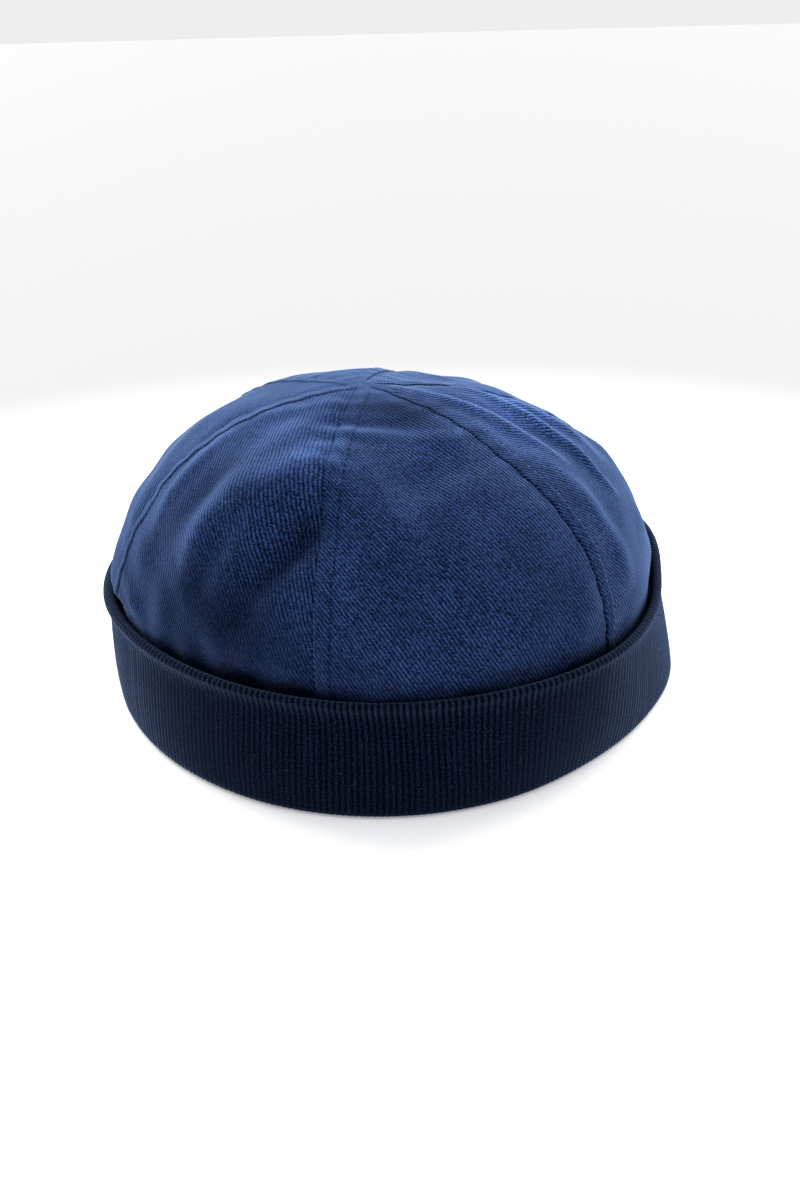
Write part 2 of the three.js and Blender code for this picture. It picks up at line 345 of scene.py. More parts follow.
def twill_material(name):
    material, tree = new_material(name)
    cloth = add(tree, "ShaderNodeUVMap", uv_map="cloth").outputs["UV"]
    slant = {"Vector": cloth, "Angle": math.radians(TWILL_ANGLE)}
    turned = add(tree, "ShaderNodeVectorRotate", slant, rotation_type="Z_AXIS").outputs[0]
    split = add(tree, "ShaderNodeSeparateXYZ", {0: turned}).outputs

    across = calc(tree, "DIVIDE", split[0], TWILL_PITCH)
    for scale, detail, wales in TWILL_WANDER:
        across = times_plus(tree, noise(tree, cloth, scale, detail), wales, across)
    wale = calc(tree, "FLOOR", across)
    along = calc(tree, "DIVIDE", split[1], FLOAT_LENGTH)
    along = times_plus(tree, wale, FLOAT_STAGGER, along)
    number = add(tree, "ShaderNodeCombineXYZ", {0: wale, 1: calc(tree, "FLOOR", along)}).outputs[0]
    chance = add(tree, "ShaderNodeTexWhiteNoise", {"Vector": number}, noise_dimensions="2D").outputs[0]
    thickness = times_plus(tree, ridges(tree, along), FLOAT_DIP, 1 - FLOAT_DIP)
    round_wale = calc(tree, "POWER", ridges(tree, across), WALE_ROUNDNESS)
    height = times(tree, round_wale, thickness)
    relief = times_plus(tree, noise(tree, cloth, 4.5, 3.0), 0.5, height)

    # painted shade: the tone follows the weave's relief and is darkest in the furrows between the wales
    tone = times(tree, height, times_plus(tree, chance, *FLOAT_TONES))
    grain = calc(tree, "SUBTRACT", noise(tree, cloth, 1.7, 3.0), 0.5)
    tone = times_plus(tree, grain, TWILL_GRAIN, tone)
    wear_and_painted_light = times_plus(tree, noise(tree, cloth, 0.07, 4.0), *WORN_PATCHES)
    # painted shade in the seam lines and the needle holes
    seam = times_plus(tree, stored(tree, "seam_shade"), -SEAM_DARK, 1.0)
    # painted shade behind the cuff's lip, on the colour and on the sheen
    outside_lip_shade = times_plus(tree, stored(tree, "painted_lip_shade"), -LIP_SHADE_DARK, 1.0)
    # painted light and shade: paler on the crests and tops, darker in the dents, on the colour and the
    # sheen
    painted_lighting = times(tree, outside_lip_shade, calc(tree, "ADD", stored(tree, "painted_light_and_shade"), 1.0))
    wear_and_painted_light = times(tree, wear_and_painted_light, seam, painted_lighting)
    colour = combine(tree, "MULTIPLY", colour_ramp(tree, tone, TWILL_COLOURS), wear_and_painted_light)

    # painted sheen: a paler rim where the cloth turns away from view
    aslant = add(tree, "ShaderNodeLayerWeight", {"Blend": 0.5}).outputs["Facing"]
    rim_sheen = times(tree, calc(tree, "POWER", aslant, RIM_SHEEN_POWER), outside_lip_shade)
    colour = combine(tree, "ADD", colour, scaled(tree, RIM_SHEEN_COLOUR, rim_sheen))
    shade_cloth(tree, colour, bump(tree, relief, TWILL_BUMP, 0.8), painted_lighting, TWILL_SHEEN)
    return material


twill = twill_material("brushed_twill")
print("twill: one wale every", TWILL_PITCH, "mm, at", TWILL_ANGLE, "degrees to the gore's middle")

# %% [markdown]
# ## The crown's shape
#
# An empty crown is held up by its seams and slumps a little between them. We compute one outline,
# turn it round a middle that leans, and then lift the cloth in or out along the outline's normal.
# It could be simulated too, but then its folds would not lie where this cap has them. First we
# measure how far each place lies from the apex.

# %% The crown's outline by the distance down the cloth
STEPS = 900
places = np.linspace(len(MERIDIAN) - 1, 0, STEPS)
outline = meridian(places)
steps = np.hypot(np.diff(outline[:, 0]), np.diff(outline[:, 1]))
outline_down = np.concatenate([[0], np.cumsum(steps)])
tangent = np.gradient(outline[:, :2], outline_down, axis=0)
tangent /= np.linalg.norm(tangent, axis=1)[:, None]
GORE_LENGTH = outline_down[-1]
print("a gore is", round(GORE_LENGTH, 1), "mm long from the apex to its sewn edge")


def outline_at(down):
    """Height, radius, lean to the right, lean to the front, and the outward normal."""
    read = [np.interp(down, outline_down, outline[:, k]) for k in range(4)]
    normal = [np.interp(down, outline_down, values) for values in (-tangent[:, 0], tangent[:, 1])]
    return (*read, *normal)


# %% [markdown]
# ## Folds
#
# A fold is a line on the crown laid flat, rolled out from the apex, so it can be written down in
# one row. Its section is a soft bell, and it is highest in its middle. Long shallow waves, from a
# random generator with a fixed seed, keep the cloth between the folds from looking machined.

# %% Folds
FOLDS_END = 14.0  # no fold reaches the sewn edge: they fade out over this length
# name, from angle, from down, to angle, to down, width, lift: each fold runs between two places on
# the cloth; a dent has a negative lift
FOLDS = [
    ("shelf across the front", -20, 37, 38, 46, 4.0, 0.8),
    ("hollow behind the shelf", -16, 31, 24, 37, 4.5, -1.2),
    ("flat of the front", 2, 56, 36, 56, 18.0, -3.6),
    ("knee across the left gore", -16, 56, -46, 98, 12.0, 6.4),
    ("top of the left ridge", -30, 20, -62, 40, 4.0, 0.7),
    ("left ridge", -63, 48, -61, 90, 4.0, 1.3),
    ("slack above the lip", -62, 124, -18, 126, 29.0, -6.5),
    ("first dent by the front seam", -12, 70, -19, 84, 6.0, -3.0),
    ("second dent by the front seam", -16, 79, -27, 99, 6.0, -3.0),
    ("ridge between the dents", -22, 72, -36, 98, 4.0, 1.0),
    ("outer dent", -32, 81, -42, 102, 6.0, -1.6),
    ("lip bulge", -68, 112, -60, 124, 5.0, 1.2),
    ("fullness by the left seam", -77, 119, -65, 127, 6.0, 2.6),
    ("valley beside the right seam", 60, 28, 57, 64, 3.0, -0.3),
    ("ridge beside the right seam", 60, 66, 58, 108, 5.0, 1.3),
    ("first right ridge", 73, 14, 65, 70, 3.2, 1.7),
    ("valley behind the first ridge", 80, 26, 71, 64, 3.2, -1.1),
    ("second right ridge", 98, 32, 73, 87, 2.8, 2.1),
    ("valley behind the second ridge", 93, 44, 84, 70, 3.2, -0.8),
    ("third right ridge", 96, 50, 86, 78, 3.2, 1.2),
    ("right shoulder", 97, 80, 102, 92, 11.0, 2.4),
    ("dip at the top", 124, 20, 138, 44, 13.0, -2.6),
    ("back ridge", -150, 42, -128, 84, 5.0, 1.3),
    ("back dent", 172, 62, 178, 92, 17.0, -1.7),
    ("back right ridge", 143, 46, 134, 84, 5.0, 1.2),
]


def bell(distance, width):
    return np.exp(-((distance / width) ** 2))


def laid_flat(angle, down):
    turn = np.radians(angle)
    return np.stack([down * np.sin(turn), -down * np.cos(turn)], -1)


def sum_of_lines(rows, angle, down):
    """What all the lines of a table give together at places on the crown."""
    here = laid_flat(angle, down)
    total = np.zeros(here.shape[:-1])
    for _, angle1, down1, angle2, down2, width, most in rows:
        start = laid_flat(angle1, down1)
        run = laid_flat(angle2, down2) - start
        along = np.clip((here - start) @ run / (run @ run), 0, 1)
        off = np.linalg.norm(here - start - along[..., None] * run, axis=-1)
        total += most * bell(off, width) * np.sin(np.pi * (0.15 + 0.7 * along))
    return total


def fold_lift(angle, down):
    return sum_of_lines(FOLDS, angle, down) * np.clip((GORE_LENGTH - down) / FOLDS_END, 0, 1)


print("the crown has", len(FOLDS), "folds")

# %% Soft unevenness of the cloth
waves = np.random.default_rng(7)
WAVE_COUNT = 26
SHORTEST_WAVE, LONGEST_WAVE = 16, 46
WAVE_LENGTHS = waves.uniform(SHORTEST_WAVE, LONGEST_WAVE, WAVE_COUNT)
WAVE_TURNS = waves.uniform(0, 2 * np.pi, WAVE_COUNT)
WAVE_STARTS = waves.uniform(0, 2 * np.pi, WAVE_COUNT)
WAVE_LIFT = 0.09


def unevenness(angle, down):
    """Lift of the cloth by all the waves together."""
    here = laid_flat(angle, down)
    lift = np.zeros(here.shape[:-1])
    for length, turn, start in zip(WAVE_LENGTHS, WAVE_TURNS, WAVE_STARTS):
        way = np.array([np.cos(turn), np.sin(turn)]) * 2 * np.pi / length
        lift += WAVE_LIFT * np.sin(here @ way + start)
    return lift


print("the soft waves are", WAVE_LENGTHS.min().round(), "to", WAVE_LENGTHS.max().round(), "mm long")

# %% [markdown]
# ## Seams
#
# A sewn seam pulls the cloth in to a narrow groove. Beside it both edges, the allowance, are pressed
# to one side and stitched down, so the cloth stands a little prouder there, up to a furrow that
# dips with every stitch, and the thread puckers it gently. At the apex the seams are pressed flat.

# %% Seams
SEAM_GROOVE = 0.3  # depth of the line between two gores
SEAM_LINE = 0.55  # its half width
SEAM_DIP = 0.45  # the cloth also dips a little towards each seam
SEAM_DIP_WIDTH = 3.2
SEAM_START = 9.0  # the relief grows over this much cloth below the apex
SEAM_FLATNESS = 0.85  # share of the groove that is pressed flat at the apex,
SEAM_FLAT_LENGTH = 64.0  # and how far down that reaches
SEAM_SHADE_WIDTH = 0.4
ALLOWANCE = 5.0  # width of the pressed allowance, from the seam to the topstitching
ALLOWANCE_LIFT = 0.55
ALLOWANCE_EDGE = 0.35
STITCH = 2.6
STITCH_FURROW = 0.32
STITCH_FURROW_WIDTH = 0.5
HOLE_SHADE = 0.85
PUCKER = 0.16
PUCKER_LENGTH = 8.5
PUCKER_WIDTH = 9.0


def soft_step(past, softness):
    """1 well before a place and 0 well past it."""
    return 1 / (1 + np.exp(past / softness))


def seam_relief(angle, down, radius):
    """Lift of the cloth near the seams, and the painted shade in the seam lines and the needle holes."""
    past = np.mod(angle - FIRST_SEAM, GORE_SPAN)
    arc = np.radians(past) * radius
    nearest = np.radians(np.minimum(past, GORE_SPAN - past)) * radius
    starts = 1 - np.exp(-down / SEAM_START)
    clear = 1 - SEAM_FLATNESS * bell(down, SEAM_FLAT_LENGTH)
    held = 0.5 - 0.5 * np.cos(2 * np.pi * down / STITCH)
    groove = SEAM_GROOVE * clear * bell(nearest, SEAM_LINE)
    dip = SEAM_DIP * bell(nearest, SEAM_DIP_WIDTH)
    padded = ALLOWANCE_LIFT * soft_step(arc - ALLOWANCE, ALLOWANCE_EDGE)
    furrow = STITCH_FURROW * bell(arc - ALLOWANCE, STITCH_FURROW_WIDTH) * (0.55 + 0.45 * held)
    pucker = PUCKER * np.sin(2 * np.pi * down / PUCKER_LENGTH) * bell(nearest, PUCKER_WIDTH)
    seam_shade = bell(nearest, SEAM_SHADE_WIDTH) * (0.25 + 0.6 * held)
    hole_shade = HOLE_SHADE * held * bell(arc - ALLOWANCE, SEAM_SHADE_WIDTH)
    lift = padded - furrow - groove - dip + pucker
    return lift * starts, np.maximum(seam_shade, hole_shade) * clear


print("seams at", [FIRST_SEAM + seam * GORE_SPAN for seam in range(GORES)], "degrees")

# %% [markdown]
# ## The crown's surface
#
# One function gives a point of the crown for an angle and a distance down the cloth. The cuff holds
# the crown in: a soft limit presses back what would pass through it, and above the lip the cloth
# is free again.

# %% The crown's surface
HOLD_ROOM = 0.5  # between the crown and the cuff
HOLD_EASE = 1.1  # how softly the cloth takes to the cuff's curve
HOLD_RELEASE = 0.12  # how quickly it is free again above the lip
WAVES_START = 20.0  # the unevenness grows over this much cloth below the apex


def pressed_in(x, y, z):
    """How far the cuff presses in a crown that would like to reach these places."""
    radius = np.hypot(x, y / OVAL)
    angle = np.degrees(np.arctan2(x, -y / OVAL))
    foot, lip, rise, roll = (around(column, angle) for column in (1, 2, 3, 4))
    free = np.maximum(0, z - rise)
    inside = foot + (lip - foot) * np.minimum(1, z / rise) - np.maximum(CUFF_WALL, 2 * roll)
    limit = inside - HOLD_ROOM + HOLD_RELEASE * free**2
    return HOLD_EASE * np.log1p(np.exp((radius - limit) / HOLD_EASE))


def crown_point(angle, down, depth=0.0, relief=True):
    """Points of the crown's outside, or of its inside at a depth, as an array of x, y, z."""
    height, radius, right, front, out, up = outline_at(down)
    lift = fold_lift(angle, down) + unevenness(angle, down) * (1 - np.exp(-down / WAVES_START))
    if relief:
        lift = lift + seam_relief(angle, down, radius)[0]
    turn = np.radians(angle)

    def place(reach, rise):
        x = right + (radius + reach) * np.sin(turn)
        y = -front - (radius + reach) * np.cos(turn) * OVAL
        return np.stack([x, y, height + rise], -1)

    wanted = place(out * lift, up * lift)
    pressed = pressed_in(*np.moveaxis(wanted, -1, 0))
    return place(out * (lift - depth) - pressed, up * (lift - depth))


print("the apex is at", crown_point(np.zeros(1), np.zeros(1)).round(1), "mm")

# %% [markdown]
# ## Painted light and shade on the crown
#
# The crown's colour is painted paler on its crests and tops and darker in its dents, as painted light and
# shade, and behind the cuff's lip, where hardly any light reaches it, it gets painted shade. It could be
# painted by hand, but a table like that of the folds is easier to correct.

# %% Painted light and shade on the crown
TUCKED_REACH = -2.0  # height over the cuff's lip up to which the crown gets painted shade,
TUCKED_EXTRA = 2.9  # and how much higher at the left, where the crown hangs away from it
TUCKED_ANGLE = -26.0
TUCKED_SPREAD = 20.0
TUCKED_WAVES = 1.6
TUCKED_SOFTNESS = 0.8
# the same columns, with how much paler (above 0) or darker the cloth is painted, as light and shade
PAINTED_LIGHT_AND_SHADE = [
    ("first dent", -12, 70, -19, 82, 5.0, -0.5),
    ("second dent", -16, 80, -26, 97, 5.0, -0.4),
    ("outer dent", -34, 78, -46, 106, 5.0, -0.15),
    ("hollow above the lip", -62, 116, -24, 122, 22.0, -0.5),
    ("left end above the lip", -74, 98, -64, 114, 8.0, -0.3),
    ("left gore above the lip", -40, 106, -14, 114, 14.0, -0.3),
    ("top of the knee", -13, 44, -28, 54, 8.0, 0.5),
    ("left flank of the knee", -46, 60, -57, 98, 7.0, -0.4),
    ("crest of the knee", -45, 60, -48, 82, 4.0, -0.3),
    ("right flank of the knee", -39, 74, -45, 92, 4.0, 0.35),
    ("beside the front seam", -15, 42, -15, 60, 6.0, 0.2),
    ("along the front seam", -7, 68, -7, 104, 6.0, 0.25),
    ("top of the front gore", -4, 20, 50, 36, 9.0, -0.65),
    ("shelf across the front", 2, 48, 30, 47, 6.0, 0.25),
    ("beside the right seam", 59, 74, 58, 104, 4.0, 0.4),
    ("front gore above the lip", 34, 98, 46, 116, 9.0, -0.25),
    ("below the first right ridge", 61, 48, 58, 74, 4.0, 0.5),
    ("top of the right gore", 64, 44, 100, 60, 15.0, 1.1),
    ("top of the left gore", -28, 30, -60, 44, 10.0, 0.35),
    ("first right ridge", 73, 14, 65, 70, 3.0, 0.8),
    ("valley behind the first ridge", 80, 26, 71, 64, 3.0, -0.25),
    ("second right ridge", 98, 32, 73, 87, 2.8, 0.8),
    ("third right ridge", 96, 50, 86, 78, 3.0, 0.6),
    ("left ridge", -63, 48, -61, 90, 3.5, 0.3),
]


def lip_shade_share(points, down):
    """1 where the crown gets painted shade behind the lip of the cuff, 0 in the open."""
    angle = np.degrees(np.arctan2(points[..., 0], -points[..., 1] / OVAL))
    reach = TUCKED_REACH + TUCKED_EXTRA * bell(angle - TUCKED_ANGLE, TUCKED_SPREAD)
    reach = reach + TUCKED_WAVES * unevenness(angle, down)
    return soft_step(points[..., 2] - around(3, angle) - reach, TUCKED_SOFTNESS)


print("paler and darker lines:", len(PAINTED_LIGHT_AND_SHADE))

# %% [markdown]
# ## Six gores
#
# Each gore is one closed wall of cloth: a fine outer face, a second grid on the inside, and strips
# that join them round the edge. The columns crowd together at the seams, where the relief is
# finest. On the inside neighbours lap past the seam, as sewn edges do, so that no light gets
# through. The UV map is the cloth laid flat, in millimetres, so that the twill has the same slant
# on each gore, as it does when all six are cut from one length of cloth.

# %% Gores
GORE_COLUMNS = 150
GORE_ROWS = 165
COLUMN_CROWDING = 0.085
ROW_CROWDING = 1.05  # a power: the rows lie a little closer together near the apex
SEAM_TRIM = 0.03  # the outer faces stop this short of the seam line
SEAM_LAP = 0.3  # and the inner faces run this far past it
INSIDE_ALLOWANCE = 7.0
INSIDE_ALLOWANCE_LIFT = 0.6
INSIDE_ALLOWANCE_EDGE = 0.3


def gore_points(start):
    """Outside, inside and the cloth laid flat, as grids, and what is stored at each place."""
    share = np.linspace(0, 1, GORE_COLUMNS + 1)
    share = share - COLUMN_CROWDING * np.sin(2 * np.pi * share)
    down = GORE_LENGTH * np.linspace(0, 1, GORE_ROWS + 1)[:, None] ** ROW_CROWDING
    radius = np.maximum(outline_at(down)[1], SEAM_LAP)

    def columns(trim):
        trim = np.degrees(trim / radius)
        return start + trim + (GORE_SPAN - 2 * trim) * share

    angle, inner_angle = columns(SEAM_TRIM), columns(-SEAM_LAP)
    down = np.broadcast_to(down, angle.shape)
    past_seam = np.radians(inner_angle - start) * radius
    allowance = INSIDE_ALLOWANCE_LIFT * soft_step(past_seam - INSIDE_ALLOWANCE, INSIDE_ALLOWANCE_EDGE)
    outside = crown_point(angle, down)
    inside = crown_point(inner_angle, down, CLOTH + allowance, relief=False)
    across = np.radians(angle - start - GORE_SPAN / 2) * radius
    marks = {
        "seam_shade": seam_relief(angle, down, radius)[1],
        "painted_light_and_shade": sum_of_lines(PAINTED_LIGHT_AND_SHADE, angle, down),
        "painted_lip_shade": lip_shade_share(outside, down),
    }
    return outside, inside, np.stack([across, down], -1), marks


def gore_faces():
    rows, columns = GORE_ROWS + 1, GORE_COLUMNS + 1
    layer = rows * columns
    number = np.arange(layer).reshape(rows, columns)
    outside = grid_faces(rows, columns)
    inside = outside[:, ::-1] + layer
    rim = np.concatenate([number[:, 0], number[-1, 1:], number[-2::-1, -1], number[0, -2:0:-1]])
    after = np.roll(rim, -1)
    edge = np.stack([rim, rim + layer, after + layer, after], -1)
    return np.concatenate([outside, inside, edge])


GORE_FACES = gore_faces()
print("faces of a gore:", len(GORE_FACES))

# %% Make the gores
APEX_ROOM = 0.1  # points of the top row lie closer together than this


def close_apex(piece):
    """Joins the points of the top row, which all lie at the apex, outside and inside."""
    mesh = bmesh.new()
    mesh.from_mesh(piece.data)
    mesh.verts.ensure_lookup_table()
    layer = len(mesh.verts) // 2
    tops = [mesh.verts[first + column] for first in (0, layer) for column in range(GORE_COLUMNS + 1)]
    bmesh.ops.remove_doubles(mesh, verts=tops, dist=APEX_ROOM * MM)
    mesh.to_mesh(piece.data)
    mesh.free()


def make_gore(number):
    outside, inside, flat, marks = gore_points(FIRST_SEAM + (number - 1) * GORE_SPAN)
    points = np.concatenate([outside.reshape(-1, 3), inside.reshape(-1, 3)])
    piece = mesh_object(f"twill_gore_{number}", points, GORE_FACES.tolist())
    flat = np.concatenate([flat.reshape(-1, 2)] * 2)
    uv_map(piece, "cloth", flat[GORE_FACES.ravel()])
    for name, values in marks.items():
        store(piece, name, np.append(values, np.zeros(values.size)))
    piece.data.materials.append(twill)
    close_apex(piece)
    return piece


gores = [make_gore(number) for number in range(1, GORES + 1)]
for number, piece in enumerate(gores, 1):
    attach(piece, "root")
    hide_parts(f"crown_gore_{number}")
print("each gore has", len(gores[0].data.polygons), "faces")

# %% [markdown]
# ## Topstitching
#
# The allowance behind each seam is pressed to one side and stitched down 5 mm from it. The thread
# comes up, lies on the cloth for one stitch and dips into the next hole. Geometry Nodes suit this:
# the tree takes the line that the needle follows, with the cloth's normal stored on it, lifts and
# sinks it in time with the stitches, and sweeps a small circle along it.

# %% Thread
THREAD = 0.3
THREAD_COLOUR = (0.004, 0.009, 0.03)
FIBRE_SCALE = 2600.0  # of the noise that stands for single fibres


def fibre_material(name, colour, roughness):
    material, tree = new_material(name)
    place = add(tree, "ShaderNodeTexCoord").outputs["Object"]
    twist = noise(tree, place, FIBRE_SCALE, 2.0)
    shade(tree, {
        "Base Color": combine(tree, "MULTIPLY", colour, times_plus(tree, twist, 0.8, 0.6)),
        "Normal": bump(tree, twist, 0.05, 0.6),
        "Roughness": roughness,
        "Specular IOR Level": 0.05,
    })
    return material


thread_material = fibre_material("dark_thread", THREAD_COLOUR, 0.8)
print("thread:", THREAD, "mm thick")

# %% The stitches as a tree of nodes
THREAD_RISE = 0.02  # height of the thread's middle over the cloth within a stitch,
THREAD_SINK = 0.45  # and its depth in the needle holes
THREAD_ARCH = 0.6
THREAD_SIDES = 6


def carried(tree, name, kind="FLOAT"):
    """The same as stored, for a tree of Geometry Nodes."""
    return add(tree, "GeometryNodeInputNamedAttribute", {"Name": name}, data_type=kind).outputs[0]


def step(tree, kind, **inputs):
    """One step on the geometry, by one of the Geometry Nodes."""
    return add(tree, "GeometryNode" + kind, inputs).outputs[0]


def tube(tree, path, sides, radius):
    ring = step(tree, "CurvePrimitiveCircle", Resolution=sides, Radius=radius)
    return step(tree, "CurveToMesh", **{"Curve": path, "Profile Curve": ring, "Fill Caps": True})


def end_tree(tree, geometry, material):
    """Makes plain mesh of everything, with its material, and hands it out."""
    real = step(tree, "RealizeInstances", Geometry=geometry)
    painted = step(tree, "SetMaterial", Geometry=real, Material=material)
    add(tree, "NodeGroupOutput", {"Geometry": painted})
    return tree


def stitching_tree():
    sizes = {"Stitch": STITCH, "Thread": THREAD, "Rise": THREAD_RISE, "Sink": THREAD_SINK}
    sizes = {name: size * MM for name, size in sizes.items()}
    tree, given = geometry_tree("Topstitching", **sizes)
    curve = step(tree, "MeshToCurve", Mesh=given["Geometry"])
    length = add(tree, "GeometryNodeSplineParameter").outputs["Length"]
    turn = times(tree, calc(tree, "DIVIDE", length, given["Stitch"]), math.pi)
    arch = calc(tree, "POWER", calc(tree, "ABSOLUTE", calc(tree, "SINE", turn)), THREAD_ARCH)
    travel = calc(tree, "ADD", given["Rise"], given["Sink"])
    lift = calc(tree, "SUBTRACT", times(tree, arch, travel), given["Sink"])
    offset = scaled(tree, carried(tree, "cloth_normal", "FLOAT_VECTOR"), lift)
    needle = step(tree, "SetPosition", Geometry=curve, Offset=offset)
    half = calc(tree, "DIVIDE", given["Thread"], 2.0)
    return end_tree(tree, tube(tree, needle, THREAD_SIDES, half), given["Material"])


# %% Stitch the seams
STITCH_STEP = 0.45
THREAD_START = 2.0  # distance of the first stitch from the sewn edge
THREAD_END = 6.0  # and of the last from where the lines would meet
NEARBY = 0.5  # millimetres and degrees to the places that give the cloth's normal


def seam_line(seam, past):
    """Points and normals of a line beside a seam, from the cuff to the apex."""
    down = np.arange(GORE_LENGTH - THREAD_START, past + THREAD_END, -STITCH_STEP)
    radius = outline_at(down)[1]
    angle = FIRST_SEAM + seam * GORE_SPAN + np.degrees(past / radius)
    points = crown_point(angle, down)
    ahead = crown_point(angle, down + NEARBY, relief=False)
    behind = crown_point(angle, down - NEARBY, relief=False)
    beside = crown_point(angle + NEARBY, down, relief=False)
    middle = crown_point(angle, down, relief=False)
    normals = np.cross(ahead - behind, beside - middle)
    normals /= np.linalg.norm(normals, axis=1)[:, None]
    return points, normals


def make_topstitching():
    points, normals, edges = [], [], []
    for seam in range(GORES):
        line, out = seam_line(seam, ALLOWANCE)
        first = sum(map(len, points))
        edges += [(first + k, first + k + 1) for k in range(len(line) - 1)]
        points.append(line)
        normals.append(out)
    piece = mesh_object("topstitching", np.concatenate(points), [], edges)
    layer = piece.data.attributes.new("cloth_normal", "FLOAT_VECTOR", "POINT")
    layer.data.foreach_set("vector", np.concatenate(normals).astype(np.float32).ravel())
    return run_nodes(piece, stitching_tree(), Material=thread_material)


topstitching = make_topstitching()
topstitching.data.shade_smooth()
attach(topstitching, "root")
print("topstitching:", len(topstitching.data.polygons), "faces along", GORES, "seams")

# %% [markdown]
# ## Rib knit
#
# The cuff is knitted in columns of loops that stand up as 328 ribs, not quite 2 mm apart. The ribs show
# on the outline and roll over the lip, so they are real shape. The loops on each rib are far smaller:
# they are bump, in coordinates that count ribs one way and millimetres the other. The furrows between the
# ribs and a fine line down each rib's middle are painted darker, as shade. A pale colour is added where
# the knit is seen aslant, a painted sheen of its short hairs, and pale hairs show on the rubbed lip.
# Behind the lip's roll the hairs and the sheen are left out, as painted shade.

# %% Knit
COURSE = 1.25  # height of one loop
KNIT_FUZZ = (2.0, 1.0, 1.0)  # how the coordinates are stretched for the noise of the fuzz,
KNIT_STREAKS = (0.9, 0.06, 1.0)  # and for that of the streaks along the ribs
KNIT_GRAIN = 2.4
KNIT_BUMP = 0.1
# the furrow between two ribs, painted dark as shade, and the top of a rib
KNIT_COLOURS = [(0.05, (0.0004, 0.0009, 0.0025)), (0.9, (0.0075, 0.013, 0.033))]
RIB_SPLIT = (0.02, 0.16, 0.62)  # the fine line of painted shade in a rib's middle: its edge, from and to, and tone
# pale hairs: a painted sheen where the knit is seen aslant, and the rubbed lip's own hairs
HAIR_AND_SHEEN_COLOUR = (0.036, 0.052, 0.092)
ASLANT_SHEEN_POWER = 2.6
LIP_FUZZ = 0.2
KNIT_SHEEN = (0.6, 0.2, (0.4, 0.56, 1.0, 1.0))


def knit_material(name):
    material, tree = new_material(name)
    knit = add(tree, "ShaderNodeUVMap", uv_map="knit").outputs["UV"]
    split = add(tree, "ShaderNodeSeparateXYZ", {0: knit}).outputs
    fuzz = noise(tree, combine(tree, "MULTIPLY", knit, KNIT_FUZZ), 1.6, 4.0)
    streaks = noise(tree, combine(tree, "MULTIPLY", knit, KNIT_STREAKS), 1.0, 2.0)
    ridge = stored(tree, "rib_height")
    side = calc(tree, "PINGPONG", split[0], 0.5)
    leg = times_plus(tree, side, 1.3, calc(tree, "DIVIDE", split[1], COURSE))
    loop = ridges(tree, leg)
    height = times_plus(tree, fuzz, 0.7, times(tree, loop, ridge))

    # painted shade: darker in the furrows between the ribs and in the fine line down each rib's middle
    tone = times(tree, calc(tree, "POWER", ridge, 1.2), times_plus(tree, loop, 0.25, 0.5))
    tone = times_plus(tree, calc(tree, "SUBTRACT", fuzz, 0.5), KNIT_GRAIN, tone)
    tone = times(tree, tone, eased(tree, side, *RIB_SPLIT))
    wear_and_painted_light = times_plus(tree, streaks, 0.9, 0.55)
    colour = combine(tree, "MULTIPLY", colour_ramp(tree, tone, KNIT_COLOURS), wear_and_painted_light)

    # painted shade behind the lip's roll: there the hairs and the sheen are left out
    outside_lip_shade = calc(tree, "SUBTRACT", 1.0, stored(tree, "painted_lip_shade"))
    plain_normal = add(tree, "ShaderNodeAttribute", attribute_name="plain_normal").outputs["Vector"]
    outwards = add(tree, "ShaderNodeVectorTransform", {"Vector": plain_normal},
                   vector_type="NORMAL", convert_from="OBJECT", convert_to="WORLD").outputs[0]
    # painted sheen: a pale colour added where the knit is seen aslant
    aslant = add(tree, "ShaderNodeLayerWeight", {"Blend": 0.5, "Normal": outwards}).outputs["Facing"]
    worn_lip = times(tree, stored(tree, "lip"), calc(tree, "POWER", ridge, 2.5))
    hairs = times_plus(tree, worn_lip, LIP_FUZZ, calc(tree, "POWER", aslant, ASLANT_SHEEN_POWER))
    hairs = times(tree, hairs, times_plus(tree, fuzz, 1.2, 0.4), outside_lip_shade)
    colour = combine(tree, "ADD", colour, scaled(tree, HAIR_AND_SHEEN_COLOUR, hairs))
    shade_cloth(tree, colour, bump(tree, height, KNIT_BUMP, 0.8), outside_lip_shade, KNIT_SHEEN)
    return material


rib_knit = knit_material("rib_knit")
print("knit: one loop every", COURSE, "mm along a rib")

# %% [markdown]
# ## The turned-up cuff
#
# Seen in section the cuff is a ring round two legs: the foot, the ribbed outer leg, the lip that
# rolls over at the top, the slit behind it, and the inner leg that is sewn to the crown. The
# section is drawn once with a curve through its corners, and follows the table round the cap.
# Geometry Nodes then press the furrows into it, each a little different, and store how high every
# point stands on its rib, for the material to read.

# %% The cuff's section
COLUMNS_PER_RIB = 8
SPAN_STEPS = [1, 1, 2, 4, 4, 3, 2, 2, 2, 2, 2, 2, 1, 2, 1, 2, 1, 2, 1]
SLIT_SPAN = 13  # the spans from this one on lie in the slit and inside the cap


